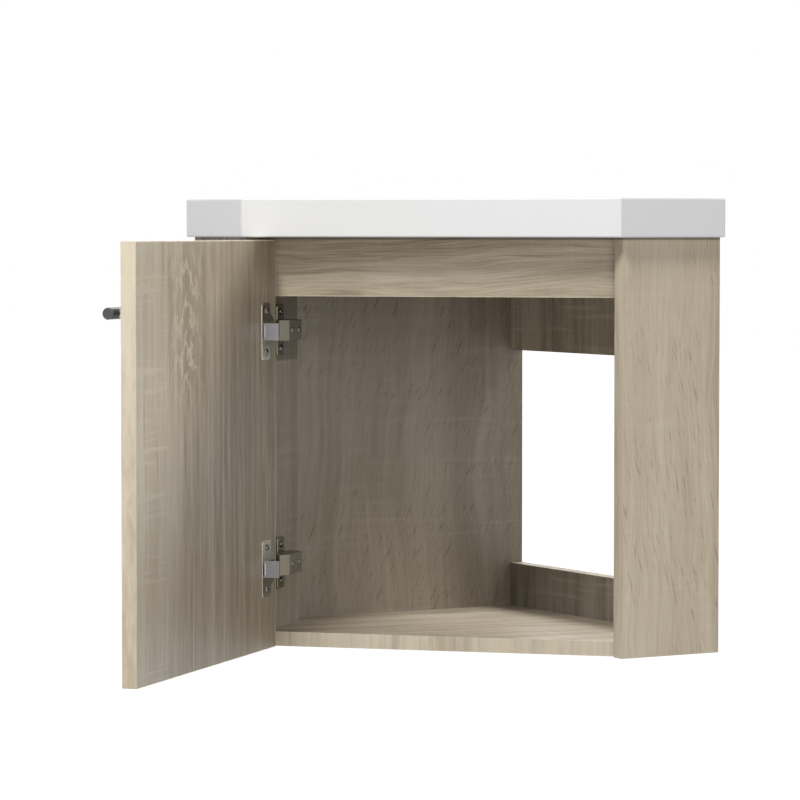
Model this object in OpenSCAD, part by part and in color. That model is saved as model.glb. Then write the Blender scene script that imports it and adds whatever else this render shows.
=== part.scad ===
// Corner vanity unit: a wall-hung corner cabinet with a cast corner basin and one door.
// Frame: the origin is the corner of the room at the height of the cabinet's underside.
// +Z is up, the front faces -Y, and the two walls run from the origin towards +X-Y and -X-Y.
// The door is drawn open, as it stands at rest.

/* [Carcass] */
// Length of the cabinet along each wall
body_wall = 422; // [414:1:460]
// Length of each side panel, square to its wall
body_side = 125; // [110:1:150]
// Height of the cabinet
body_h = 450; // [400:1:560]
// Thickness of the boards
board = 16; // [15:0.5:19]
// Thickness of the edge bands
band = 0.8; // [0.5:0.1:1.2]
// How far the apron, floor and stile stand behind the front corners
front_set = 20.5; // [19:0.5:26]
// Height of the front apron
apron_h = 64.6; // [60:0.1:80]
// Depth of the hinge stile from front to back
stile_depth = 113; // [95:1:120]
// Height of the rear top rail
top_rail_h = 133; // [90:1:150]
// Height of the rear bottom rail
bottom_rail_h = 66; // [50:1:100]

/* [Basin] */
// How far the basin stands past the cabinet along each wall
basin_past_wall = 11; // [8:0.5:20]
// How far the basin's short sides reach past the side panels
basin_past_side = 10; // [6:0.5:20]
// Thickness of the basin's rim
basin_t = 42; // [38:1:50]
// Width of the rim in front of the bowl
rim_front = 56; // [54:1:64]
// Width of the bowl at its rim
bowl_w = 410; // [380:2:416]
// Depth of the tap ledge, from the room corner to the bowl
ledge = 128; // [126:1:136]
// Depth of the bowl below the rim
bowl_depth = 84; // [70:1:88]
// Wall of the bowl below the rim
bowl_wall = 8; // [6:0.5:10]
// Bore for the tap
tap_d = 35; // [32:1:36]
// Distance of the tap bore from the room corner
tap_back = 80; // [72:1:84]
// Thickness of the ledge at the tap bore
tap_ledge_t = 18; // [14:1:24]
// Bore for the waste
waste_d = 45; // [40:1:48]
// Distance of the waste bore from the room corner
waste_back = 244; // [240:1:248]
// Bore for the overflow
overflow_d = 22; // [18:1:24]

/* [Wall fixing] */
// Bore for each wall screw
wall_screw_d = 6.5; // [5:0.5:8]
// Height of the wall screws below the cabinet's top
wall_screw_drop = 32; // [26:1:60]
// Distance of the nearer wall screw from the room corner
wall_screw_near = 110; // [90:5:140]
// Spacing of the two screws on each wall
wall_screw_pitch = 220; // [180:5:250]

/* [Door] */
// Thickness of the door
door_t = 16; // [15:0.5:17]
// Gap between the door's top and the basin
door_top_gap = 3; // [2:0.5:6]
// Gap between the hinged edge and the left side panel
hinge_gap = 3.3; // [3.2:0.1:4]
// Gap between the free edge and the right side panel
free_gap = 2; // [1.5:0.1:4]
// Gap behind the closed door
back_gap = 2.3; // [2.2:0.1:2.8]

/* [Handle] */
// Diameter of the handle's bar
bar_d = 12.5; // [10:0.5:14]
// Length of the handle's bar
bar_l = 136; // [120:1:160]
// Distance between the handle's posts
post_pitch = 96; // [64:32:96]
// Diameter of the posts
post_d = 9; // [8:0.5:10]
// Distance from the door to the middle of the bar
bar_off = 29; // [22:0.5:32]
// Distance of the bar's end from the door's free edge
bar_in = 35; // [30:1:60]
// Distance of the bar below the cabinet's top
bar_drop = 76; // [60:1:120]
// Diameter of the studs that hold the posts
stud_d = 4; // [4:0.5:5]

/* [Hinges] */
// Height of the upper hinge below the cabinet's top
upper_hinge_drop = 102.5; // [85:0.5:140]
// Height of the lower hinge above the cabinet's underside
lower_hinge_rise = 89; // [75:0.5:140]
// Diameter of the hinge cup
cup_d = 35; // [35:0.5:36]
// Depth of the hinge cup
cup_depth = 13.1; // [12.9:0.1:13.3]
// Distance of the cup's middle from the door's hinged edge
cup_in = 20.5; // [20.4:0.1:21]
// Distance between the cup's screws
cup_screw_pitch = 45; // [45:1:48]
// Distance of the mounting plate's screws from the stile's front
plate_in = 37; // [34:0.5:40]
// Distance between the mounting plate's screws
plate_screw_pitch = 40; // [38:1:44]
// Height of the arm's top face above the stile
arm_h = 21.5; // [20:0.5:22]
// Width of the arm
arm_w = 22.4; // [21:0.2:23]
// Length of the arm behind the stile's front edge
arm_back = 62; // [58:1:66]
// Diameter of the hinge pins
pin_d = 2.4; // [2:0.1:2.4]

/* [Hidden] */
$fn = 48;

// ---- Plan ----
// A point s along a wall from the room corner and t in front of it; side is 1 for right, -1 for left
function on_wall(side, s, t) = [side * (s - t) / sqrt(2), -(s + t) / sqrt(2)];
// The five-sided plan that fills a corner
function corner_plan(wall, short) = [
    on_wall(1, 0, 0), on_wall(1, wall, 0), on_wall(1, wall, short), on_wall(-1, wall, short), on_wall(-1, wall, 0)
];
// Turns a plan point clockwise about the origin
function clockwise(p, a) = [p[0] * cos(a) + p[1] * sin(a), -p[0] * sin(a) + p[1] * cos(a)];

inner_wall = body_wall - board;
front_y = on_wall(1, body_wall, body_side)[1];
face_y = front_y + front_set;
face_back_y = face_y + board;
// Half the width between the side panels at depth y
function half_width(y) = inner_wall * sqrt(2) + y;
panel_corner = on_wall(1, inner_wall, body_side);
// The stile's outer front edge just clears the side panel
stile_left = -half_width(face_y) + 0.15;
stile_x = stile_left + board;
apron_bottom = body_h - apron_h;

// ---- Door and hinge travel, in plan ----
// The door is drawn this many degrees open
door_open = 93.5;
door_left = -panel_corner[0] + hinge_gap;
door_w = panel_corner[0] - free_gap - door_left;
door_h = body_h - door_top_gap;
closed_corner = [door_left, face_y - back_gap];
// Pin of the arm, and pin of the cup with the door closed, measured from the closed door's inner corner
arm_pin = closed_corner + [9.1, -10.3];
cup_pin_door = [22.6, -3];
link_closed = closed_corner + cup_pin_door - arm_pin;
link_l = norm(link_closed);
// The link turns this many degrees for each degree of the door
link_ratio = 1.24;
link_open = atan2(link_closed[1], link_closed[0]) - door_open * link_ratio;
cup_pin = arm_pin + link_l * [cos(link_open), sin(link_open)];
door_corner = cup_pin - clockwise(cup_pin_door, door_open);
// The arm's pin as the open door sees it
arm_pin_door = clockwise(arm_pin - door_corner, -door_open);

// ---- Hinge details ----
upper_hinge_z = body_h - upper_hinge_drop;
lower_hinge_z = lower_hinge_rise;
hinge_heights = [upper_hinge_z, lower_hinge_z];
cup_fit = 0.1;
cup_skin = 0.5;
flange_t = 1;
flange_h = 63;
flange_near = 17;
flange_far = 43;
flange_r = 5;
cup_screw_in = cup_in + 9.5;
cheek_t = 1.5;
cheek_gap = 0.3;
nose_w = 9;
nose_below = 2;
nose_above = 1.6;
stem_in = 5.5;
stem_t = 2.5;
eye_r = 2;
cup_eye_r = 2.5;
pin_fit = 0.1;
arm_skin = 1.4;
plate_wing_w = 26;
plate_wing_h = 57;
plate_wing_t = 3.5;
plate_wing_r = 4;
block_front = 16;
block_fit = 0.8;
screw_head_d = 7.5;
screw_head_h = 2.2;
wood_screw_d = 3.5;
wood_screw_l = 11;
recess_d = 3.2;
recess_t = 0.9;
recess_h = 1;
adjust_d = 6.5;
adjust_l = 9;
adjust_at = [24, 49];
// Outside face to outside face of the link's cheeks
link_w = nose_w + 2 * (cheek_gap + cheek_t);
// Width of the cup's pocket, which the link swings in
pocket_w = link_w + 2.4;
strap_waist = 0.9;
link_plate_w = 18.4;
link_plate_in = 39.5;
link_plate_t = 1.5;
link_plate_low = 1.7;
link_plate_high = 19;

// ---- Basin details ----
basin_wall = body_wall + basin_past_wall;
basin_side = body_side + basin_past_side;
basin_top = body_h + basin_t;
basin_front_y = on_wall(1, basin_wall, basin_side)[1];
bowl_floor = basin_top - bowl_depth;
bowl_edge_r = 14;
bowl_r = 32;
bowl_front_y = basin_front_y + rim_front;
// The bowl's rim: its front corners, its shoulders and half the width of its rear edge
bowl_corner_in = 8;
bowl_shoulder = 34;
bowl_rear_half = 62;
bowl_top = [
    [bowl_w / 2 - bowl_edge_r - bowl_corner_in, bowl_front_y + bowl_edge_r],
    [bowl_w / 2 - bowl_edge_r, bowl_front_y + bowl_edge_r + bowl_shoulder],
    [bowl_rear_half, -ledge - bowl_edge_r]
];
// The bowl's foot, measured in from the rim
bowl_foot_side = 74;
bowl_foot_front = 53.6;
bowl_foot_rear = 68;
foot_rear_half = 52;
bowl_base = [
    [bowl_w / 2 - bowl_foot_side, bowl_front_y + bowl_foot_front],
    [foot_rear_half, -ledge - bowl_foot_rear]
];
waste_y = -waste_back;
waste_boss_d = 72;
boss_drop = 6;
waste_seat_d = 64;
waste_seat_h = 2;
tap_recess_d = 64;
// Slope of the bowl's rear wall below the horizontal, from the rim's edge to the round at its foot
rear_rise = [-ledge - bowl_base[1][1], basin_top - 1 - bowl_floor - bowl_r];
rear_lean = acos(bowl_r / norm(rear_rise)) - atan2(rear_rise[1], rear_rise[0]);
overflow_z = basin_top - 20;
overflow_y = -ledge - (basin_top - 1 - overflow_z) * tan(rear_lean);
overflow_l = 14;
overflow_drop_d = 12;
ring_d = 30;
ring_t = 2;
ring_in = 16;
ring_l = 8;

// ---- Fastener sizes ----
// Play across every screw, bolt, stud and pressed pin in its bore
play = 0.1;
press_play = 0.04;
dowel_d = 8;
dowel_fit = 0.1;
dowel_face = 10;
dowel_edge = 20;
cam_d = 15;
cam_h = 12.5;
cam_in = 34;
bolt_d = 6;
bolt_bore = 8;
bolt_face = 11;
bolt_edge = 29;
// Distances of the cams and dowels from the edges of their boards
floor_cam_in = 64;
side_cam_in = 70;
rail_cam_in = 60;
low_cam_in = 16;
floor_dowel_in = 96;
wall_dowel_near = 150;
wall_dowel_far = 300;
rail_dowel_in = 28;
low_dowel_in = 26;
// Each joint: side, distance along the wall, distance in front of it, height, turn in plan, roll
mid = board / 2;
cam_joints = [
    [1, inner_wall, floor_cam_in, mid, 180, 0],
    [-1, inner_wall, floor_cam_in, mid, 0, 0],
    [-1, inner_wall, mid, side_cam_in, 0, 90],
    [-1, inner_wall, mid, body_h - side_cam_in, 0, 90],
    [1, inner_wall, mid, body_h - rail_cam_in, 180, -90],
    [1, board, mid, body_h - rail_cam_in, 0, 90],
    [1, inner_wall, mid, bottom_rail_h - low_cam_in, 180, -90],
    [1, board, mid, bottom_rail_h - low_cam_in, 0, 90]
];
dowel_joints = [
    [1, inner_wall, floor_dowel_in, mid, 180, 0],
    [-1, inner_wall, floor_dowel_in, mid, 0, 0],
    [-1, wall_dowel_near, board, mid, -90, 0],
    [-1, wall_dowel_far, board, mid, -90, 0],
    [1, wall_dowel_near, board, mid, -90, 0],
    [1, wall_dowel_far, board, mid, -90, 0],
    [-1, inner_wall, mid, body_h / 2, 0, 0],
    [1, inner_wall, mid, body_h - rail_dowel_in, 180, 0],
    [1, board, mid, body_h - rail_dowel_in, 0, 0],
    [1, inner_wall, mid, low_dowel_in, 180, 0],
    [1, board, mid, low_dowel_in, 0, 0]
];
stile_dowel_at = [30, 90];

wood = [0.76, 0.70, 0.60];
steel = [0.72, 0.72, 0.74];
white = [0.95, 0.95, 0.95];

// ---- Placing ----
module at_door() {
    translate([door_corner[0], door_corner[1], 0])
        rotate([0, 0, -door_open])
            children();
}

// Local -Y points into the room and local X runs along the wall
module at_wall(side, s, t, z) {
    p = on_wall(side, s, t);
    translate([p[0], p[1], z])
        rotate([0, 0, -45 * side])
            children();
}

// Local X points into the edge of the board that is joined
module at_joint(j) {
    at_wall(j[0], j[1], j[2], j[3])
        rotate([0, 0, j[4]])
            rotate([j[5], 0, 0])
                children();
}

// Plan outlines at hinge height h, made w tall about it
module across(h, w) {
    translate([0, 0, h - w / 2])
        linear_extrude(height = w)
            children();
}

// ---- Shapes ----
// A plate over plan points between two heights
module board_of(points, low, high) {
    translate([0, 0, low])
        linear_extrude(height = high - low)
            polygon(points);
}

// A board along a wall, from s0 to s1 along it and from t0 to t1 in front of it
module wall_board(side, s0, s1, t0, t1, low, high) {
    board_of([on_wall(side, s0, t0), on_wall(side, s1, t0), on_wall(side, s1, t1), on_wall(side, s0, t1)],
        low, high);
}

// A cylinder along local X
module rod_x(d, from, to) {
    translate([from, 0, 0])
        rotate([0, 90, 0])
            cylinder(h = to - from, d = d);
}

// Two rounds joined by straight sides, which cut in just short of tangent
module strap(a, b, ra, rb) {
    ia = ra * strap_waist;
    ib = rb * strap_waist;
    turn = atan2(b[1] - a[1], b[0] - a[0]);
    lean = acos((ra - rb) / norm(b - a));
    translate(a)
        circle(r = ra);
    translate(b)
        circle(r = rb);
    polygon([
        a + ia * [cos(turn + lean), sin(turn + lean)],
        a + ia * [cos(turn - lean), sin(turn - lean)],
        b + ib * [cos(turn - lean), sin(turn - lean)],
        b + ib * [cos(turn + lean), sin(turn + lean)]
    ]);
}

// A rectangle with rounded corners, from corner a to corner b
module rounded(a, b, r) {
    translate([a[0] + r, a[1]])
        square([b[0] - a[0] - 2 * r, b[1] - a[1]]);
    translate([a[0], a[1] + r])
        square([b[0] - a[0], b[1] - a[1] - 2 * r]);
    for (x = [a[0] + r, b[0] - r]) {
        for (y = [a[1] + r, b[1] - r]) {
            translate([x, y])
                circle(r = r);
        }
    }
}

// Cross recess of a screw head whose top is at z = 0
module cross_recess() {
    for (a = [0, 90]) {
        rotate([0, 0, a])
            translate([-recess_d / 2, -recess_t / 2, -recess_h])
                cube([recess_d, recess_t, recess_h + 1]);
    }
}

// A wood screw that enters downwards, with the underside of its head at z = 0
module wood_screw() {
    difference() {
        union() {
            translate([0, 0, -wood_screw_l])
                cylinder(h = wood_screw_l + 0.5, d = wood_screw_d);
            cylinder(h = screw_head_h, d1 = screw_head_d, d2 = screw_head_d - 1.4);
        }
        translate([0, 0, screw_head_h])
            cross_recess();
    }
}

// ---- Bores in the boards ----
module cam_bores() {
    for (j = cam_joints) {
        at_joint(j) {
            rod_x(bolt_d + play, -bolt_face - 0.3, 0.5);
            rod_x(bolt_bore, 0, cam_in);
            translate([cam_in, 0, -mid - 0.5])
                cylinder(h = cam_h + 0.6, d = cam_d + play);
        }
    }
}

module dowel_bores() {
    for (j = dowel_joints) {
        at_joint(j)
            rod_x(dowel_d + dowel_fit, -dowel_face - 0.5, dowel_edge + 0.5);
    }
}

module stile_dowel_line(d, extra) {
    for (a = stile_dowel_at) {
        translate([stile_x - mid, face_y + a, board - dowel_face - extra])
            cylinder(h = dowel_face + dowel_edge + 2 * extra, d = d);
    }
}

module apron_dowel_line(d, extra) {
    translate([stile_x, face_y + mid, apron_bottom + 32])
        rod_x(d, -dowel_face - extra, dowel_edge + extra);
}

module wall_screw_bores(side) {
    for (s = [wall_screw_near, wall_screw_near + wall_screw_pitch]) {
        at_wall(side, s, -1, body_h - wall_screw_drop)
            rotate([90, 0, 0])
                cylinder(h = board + 2, d = wall_screw_d);
    }
}

// ---- Carcass ----
module side_panel(side) {
    difference() {
        wall_board(side, inner_wall, body_wall, 0, body_side - band, 0, body_h);
        cam_bores();
        dowel_bores();
    }
}

module left_side_panel() {
    color(wood)
        side_panel(-1);
}

module right_side_panel() {
    color(wood)
        side_panel(1);
}

module left_back_panel() {
    color(wood)
        difference() {
            wall_board(-1, 0, inner_wall, 0, board, 0, body_h);
            cam_bores();
            dowel_bores();
            wall_screw_bores(-1);
        }
}

module rear_top_rail() {
    color(wood)
        difference() {
            wall_board(1, board, inner_wall, 0, board, body_h - top_rail_h + band, body_h);
            cam_bores();
            dowel_bores();
            wall_screw_bores(1);
        }
}

module rear_bottom_rail() {
    color(wood)
        difference() {
            wall_board(1, board, inner_wall, 0, board, 0, bottom_rail_h - band);
            cam_bores();
            dowel_bores();
        }
}

module floor_panel() {
    cut_y = face_y + band;
    color(wood)
        difference() {
            board_of([
                on_wall(1, board, board), on_wall(1, inner_wall, board), [half_width(cut_y), cut_y],
                [-half_width(cut_y), cut_y], on_wall(-1, inner_wall, board)
            ], 0, board);
            cam_bores();
            dowel_bores();
            stile_dowel_line(dowel_d + dowel_fit, 0.5);
        }
}

// Plan of the apron: its right end follows the side panel
function apron_plan() = [
    [stile_x, face_y], [half_width(face_y), face_y], [half_width(face_back_y), face_back_y],
    [stile_x, face_back_y]
];

module front_apron() {
    color(wood)
        difference() {
            board_of(apron_plan(), apron_bottom + band, body_h);
            apron_dowel_line(dowel_d + dowel_fit, 0.5);
        }
}

module hinge_stile() {
    color(wood)
        difference() {
            translate([stile_left, face_y + band, board])
                cube([board, stile_depth - 2 * band, body_h - board]);
            stile_dowel_line(dowel_d + dowel_fit, 0.5);
            apron_dowel_line(dowel_d + dowel_fit, 0.5);
            for (h = hinge_heights) {
                plate_screw_places(h)
                    translate([0, 0, -wood_screw_l - 0.3])
                        cylinder(h = wood_screw_l + 1, d = wood_screw_d + play);
            }
        }
}

module carcass_edge_bands() {
    cut_y = face_y + band;
    color(wood) {
        for (side = [-1, 1]) {
            wall_board(side, inner_wall, body_wall, body_side - band, body_side, 0, body_h);
        }
        wall_board(1, board, inner_wall, 0, board, body_h - top_rail_h, body_h - top_rail_h + band);
        wall_board(1, board, inner_wall, 0, board, bottom_rail_h - band, bottom_rail_h);
        board_of([
            [-half_width(face_y), face_y], [half_width(face_y), face_y], [half_width(cut_y), cut_y],
            [-half_width(cut_y), cut_y]
        ], 0, board);
        board_of(apron_plan(), apron_bottom, apron_bottom + band);
        for (y = [face_y, face_y + stile_depth - band]) {
            translate([stile_left, y, board])
                cube([board, band, body_h - board]);
        }
    }
}

module dowels() {
    color([0.85, 0.75, 0.55]) {
        for (j = dowel_joints) {
            at_joint(j)
                rod_x(dowel_d, -dowel_face, dowel_edge);
        }
        stile_dowel_line(dowel_d, 0);
        apron_dowel_line(dowel_d, 0);
    }
}

module cam_locks() {
    color(steel)
        for (j = cam_joints) {
            at_joint(j)
                difference() {
                    translate([cam_in, 0, -mid])
                        cylinder(h = cam_h, d = cam_d);
                    rod_x(bolt_d + play, cam_in - cam_d, bolt_edge + 0.3);
                    translate([cam_in, 0, -mid + 1])
                        rotate([180, 0, 0])
                            scale([1.6, 1.6, 2])
                                cross_recess();
                }
        }
}

module cam_bolts() {
    color(steel)
        for (j = cam_joints) {
            at_joint(j)
                rod_x(bolt_d, -bolt_face, bolt_edge);
        }
}

// ---- Basin ----
// The bowl's shape, grown by g
module bowl(g) {
    hull() {
        for (p = bowl_top) {
            for (side = [-1, 1]) {
                translate([side * p[0], p[1], basin_top - 1])
                    cylinder(h = 3, r = bowl_edge_r + g, $fn = 32);
            }
        }
        for (p = bowl_base) {
            for (side = [-1, 1]) {
                translate([side * p[0], p[1], bowl_floor + bowl_r])
                    sphere(r = bowl_r + g, $fn = 32);
            }
        }
    }
}

// Local +Z points out of the bowl's rear wall at the overflow
module at_overflow() {
    translate([0, overflow_y, overflow_z])
        rotate([90 - rear_lean, 0, 0])
            children();
}

module basin() {
    color(white)
        difference() {
            union() {
                board_of([
                    on_wall(1, 0, 0), on_wall(1, basin_wall, 0), on_wall(1, basin_wall, basin_side),
                    on_wall(-1, basin_wall, basin_side), on_wall(-1, basin_wall, 0)
                ], body_h, basin_top);
                intersection() {
                    bowl(bowl_wall);
                    translate([-body_wall, -body_wall, bowl_floor - bowl_wall - 1])
                        cube([2 * body_wall, body_wall, body_h - bowl_floor + bowl_wall + 2]);
                }
                translate([0, waste_y, bowl_floor - bowl_wall - boss_drop])
                    cylinder(h = bowl_wall + boss_drop, d = waste_boss_d);
            }
            bowl(0);
            translate([0, waste_y, bowl_floor - waste_seat_h])
                cylinder(h = bowl_depth, d = waste_seat_d);
            translate([0, waste_y, bowl_floor - bowl_wall - boss_drop - 1])
                cylinder(h = bowl_wall + boss_drop + 2, d = waste_d);
            translate([0, -tap_back, body_h - 1])
                cylinder(h = basin_t + 2, d = tap_d);
            translate([0, -tap_back, body_h - 1])
                cylinder(h = basin_t - tap_ledge_t + 1, d = tap_recess_d);
            at_overflow()
                translate([0, 0, -overflow_l])
                    cylinder(h = overflow_l + 6, d = overflow_d);
            translate([0, overflow_y + 12 * cos(rear_lean), body_h - 1])
                cylinder(h = overflow_z - body_h - 6, d = overflow_drop_d);
        }
}

module overflow_ring() {
    color(steel)
        at_overflow()
            difference() {
                union() {
                    translate([0, 0, 0.2])
                        cylinder(h = ring_t, d = ring_d);
                    translate([0, 0, -ring_l])
                        cylinder(h = ring_l + 1, d = overflow_d - 0.2);
                }
                translate([0, 0, -ring_l - 1])
                    cylinder(h = ring_l + ring_t + 3, d = ring_in);
            }
}

// ---- Hinges ----
// Puts what enters downwards onto the top of a mounting plate's wings, whose thickness it passes
module plate_screw_places(h) {
    for (side = [-1, 1]) {
        translate([stile_x + plate_wing_t, face_y + plate_in, h + side * plate_screw_pitch / 2])
            rotate([0, 90, 0])
                children();
    }
}

module hinge_plate(h) {
    block_w = arm_w - 2 * arm_skin - block_fit;
    block_top = arm_h - arm_skin - 0.1;
    difference() {
        union() {
            translate([stile_x, face_y + plate_in, h])
                rotate([90, 0, 90])
                    linear_extrude(height = plate_wing_t)
                        rounded([-plate_wing_w / 2, -plate_wing_h / 2], [plate_wing_w / 2, plate_wing_h / 2],
                            plate_wing_r);
            translate([stile_x, face_y + block_front, h - block_w / 2])
                cube([block_top, arm_back - block_front - 2, block_w]);
        }
        plate_screw_places(h)
            translate([0, 0, -plate_wing_t - 1])
                cylinder(h = plate_wing_t + 2, d = wood_screw_d + 0.2);
        for (a = adjust_at) {
            translate([stile_x + arm_h + 1 - adjust_l - 0.5, face_y + a, h])
                rod_x(adjust_d, 0, adjust_l + 1);
        }
    }
}

module upper_hinge_plate() {
    color(steel)
        hinge_plate(upper_hinge_z);
}

module lower_hinge_plate() {
    color(steel)
        hinge_plate(lower_hinge_z);
}

// The arm: a narrow hooked nose round the door's rim, then a channel over the mounting plate
module hinge_arm(h) {
    stem_x = arm_pin[0] + stem_in;
    top_x = stile_x + arm_h;
    low_x = stile_x + plate_wing_t + 0.3;
    difference() {
        union() {
            across(h, nose_w) {
                translate(arm_pin)
                    circle(r = eye_r);
                translate([arm_pin[0], arm_pin[1] - nose_below])
                    square([stem_in + stem_t, nose_below + nose_above]);
                translate([stem_x, arm_pin[1] - nose_below])
                    square([stem_t, face_y + 2 - arm_pin[1] + nose_below]);
            }
            difference() {
                across(h, arm_w)
                    polygon([
                        [stem_x, face_y + 0.5], [stem_x + stem_t, face_y + 0.5], [top_x, face_y + 10.5],
                        [top_x, face_y + arm_back - 5], [top_x - 4, face_y + arm_back],
                        [low_x, face_y + arm_back], [low_x, face_y + 14]
                    ]);
                across(h, arm_w - 2 * arm_skin)
                    polygon([
                        [stile_x, face_y + 0.5 + arm_skin], [stem_x + stem_t - 1.2, face_y + 0.5 + arm_skin],
                        [top_x - arm_skin, face_y + 11.4], [top_x - arm_skin, face_y + arm_back + 1],
                        [stile_x, face_y + arm_back + 1]
                    ]);
            }
        }
        translate([arm_pin[0], arm_pin[1], h - nose_w])
            cylinder(h = 2 * nose_w, d = pin_d + press_play);
        for (a = adjust_at) {
            translate([top_x - 3, face_y + a, h])
                rod_x(adjust_d + 0.1, 0, 6);
        }
    }
}

module upper_hinge_arm() {
    color(steel)
        hinge_arm(upper_hinge_z);
}

module lower_hinge_arm() {
    color(steel)
        hinge_arm(lower_hinge_z);
}

// The link: two cheeks between the pins, a web over the cup and the plate at its end
module hinge_link(h) {
    knee = cup_pin_door + [0.9, 5.4];
    web = [link_plate_in + link_plate_t / 2, link_plate_low + 1.2];
    at_door()
        difference() {
            union() {
                for (side = [-1, 1]) {
                    across(h + side * (link_w - cheek_t) / 2, cheek_t) {
                        strap(arm_pin_door, cup_pin_door, eye_r, cup_eye_r);
                        strap(cup_pin_door, knee, cup_eye_r, 1.5);
                    }
                }
                across(h, link_w)
                    strap(knee, web, 1.1, 1.1);
                across(h, link_plate_w)
                    translate([link_plate_in, link_plate_low])
                        square([link_plate_t, link_plate_high - link_plate_low]);
            }
            for (p = [arm_pin_door, cup_pin_door]) {
                translate([p[0], p[1], h - link_w])
                    cylinder(h = 2 * link_w, d = pin_d + pin_fit);
            }
        }
}

module upper_hinge_link() {
    color(steel)
        hinge_link(upper_hinge_z);
}

module lower_hinge_link() {
    color(steel)
        hinge_link(lower_hinge_z);
}

// Puts what enters downwards into the door's inner face at the cup's screws, passing the flange
module cup_screw_places(h) {
    for (side = [-1, 1]) {
        translate([cup_screw_in, flange_t, h + side * cup_screw_pitch / 2])
            rotate([-90, 0, 0])
                children();
    }
}

module hinge_cup(h) {
    at_door()
        difference() {
            union() {
                difference() {
                    union() {
                        translate([cup_in, -cup_depth, h])
                            rotate([-90, 0, 0])
                                cylinder(h = cup_depth, d = cup_d - cup_fit);
                        translate([0, 0, h])
                            rotate([-90, 0, 0])
                                linear_extrude(height = flange_t)
                                    flange_plan();
                    }
                    intersection() {
                        translate([cup_in, -cup_depth + cup_skin, h])
                            rotate([-90, 0, 0])
                                cylinder(h = cup_depth + 3, d = cup_d - cup_fit - 2 * cup_skin);
                        translate([0, -cup_depth, h - pocket_w / 2])
                            cube([cup_in + cup_d, 2 * cup_depth, pocket_w]);
                    }
                    translate([-1, 0, h - 7])
                        cube([8, 3, 14]);
                }
                across(h, nose_w) {
                    translate(cup_pin_door)
                        circle(r = 2.3);
                    translate([cup_pin_door[0] - 2.3, -cup_depth + 0.2])
                        square([4.6, cup_depth - 0.2 + cup_pin_door[1]]);
                }
            }
            translate([cup_pin_door[0], cup_pin_door[1], h - nose_w])
                cylinder(h = 2 * nose_w, d = pin_d + press_play);
            cup_screw_places(h)
                translate([0, 0, -flange_t - 1])
                    cylinder(h = flange_t + 2, d = wood_screw_d + 0.2);
        }
}

module flange_plan() {
    rounded([flange_near, -flange_h / 2], [flange_far, flange_h / 2], flange_r);
    intersection() {
        translate([cup_in, 0])
            circle(d = cup_d + 3);
        translate([2.4, -cup_d])
            square([2 * cup_d, 2 * cup_d]);
    }
}

module upper_hinge_cup() {
    color(steel)
        hinge_cup(upper_hinge_z);
}

module lower_hinge_cup() {
    color(steel)
        hinge_cup(lower_hinge_z);
}

module hinge_plate_screws() {
    color(steel)
        for (h = hinge_heights) {
            plate_screw_places(h)
                wood_screw();
        }
}

module hinge_cup_screws() {
    color(steel)
        at_door()
            for (h = hinge_heights) {
                cup_screw_places(h)
                    wood_screw();
            }
}

module hinge_adjust_screws() {
    color(steel)
        for (h = hinge_heights) {
            for (a = adjust_at) {
                translate([stile_x + arm_h + 1, face_y + a, h])
                    rotate([0, 90, 0])
                        difference() {
                            translate([0, 0, -adjust_l])
                                cylinder(h = adjust_l, d = adjust_d - 0.1);
                            cross_recess();
                        }
            }
        }
}

module hinge_arm_pins() {
    color(steel)
        for (h = hinge_heights) {
            translate([arm_pin[0], arm_pin[1], h - link_w / 2])
                cylinder(h = link_w, d = pin_d);
        }
}

module hinge_cup_pins() {
    color(steel)
        at_door()
            for (h = hinge_heights) {
                translate([cup_pin_door[0], cup_pin_door[1], h - link_w / 2])
                    cylinder(h = link_w, d = pin_d);
            }
}

// ---- Door ----
post_x = [door_w - bar_in - bar_l / 2 - post_pitch / 2, door_w - bar_in - bar_l / 2 + post_pitch / 2];
bar_z = body_h - bar_drop;
bar_y = -door_t - bar_off;
stud_door = 11;
stud_post = 12;
spigot_d = 5;
spigot_l = 4;

module door_panel() {
    color(wood)
        at_door()
            difference() {
                translate([band, -door_t, band])
                    cube([door_w - 2 * band, door_t, door_h - 2 * band]);
                for (h = hinge_heights) {
                    translate([cup_in, -cup_depth - 0.1, h])
                        rotate([-90, 0, 0])
                            cylinder(h = cup_depth + 1, d = cup_d);
                    cup_screw_places(h)
                        translate([0, 0, -wood_screw_l - 0.3])
                            cylinder(h = wood_screw_l + 2, d = wood_screw_d + play);
                }
                for (x = post_x) {
                    translate([x, -door_t - 1, bar_z])
                        rotate([-90, 0, 0])
                            cylinder(h = stud_door + 1.3, d = stud_d + play);
                }
            }
}

module door_edge_bands() {
    color(wood)
        at_door() {
            for (x = [0, door_w - band]) {
                translate([x, -door_t, 0])
                    cube([band, door_t, door_h]);
            }
            for (z = [0, door_h - band]) {
                translate([band, -door_t, z])
                    cube([door_w - 2 * band, door_t, band]);
            }
        }
}

module handle_bar() {
    color(steel)
        at_door()
            difference() {
                translate([door_w - bar_in - bar_l, bar_y, bar_z])
                    rod_x(bar_d, 0, bar_l);
                for (x = post_x) {
                    translate([x, bar_y + bar_d / 2 - spigot_l - 1.3, bar_z])
                        rotate([-90, 0, 0])
                            cylinder(h = 10, d = spigot_d);
                }
            }
}

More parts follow.
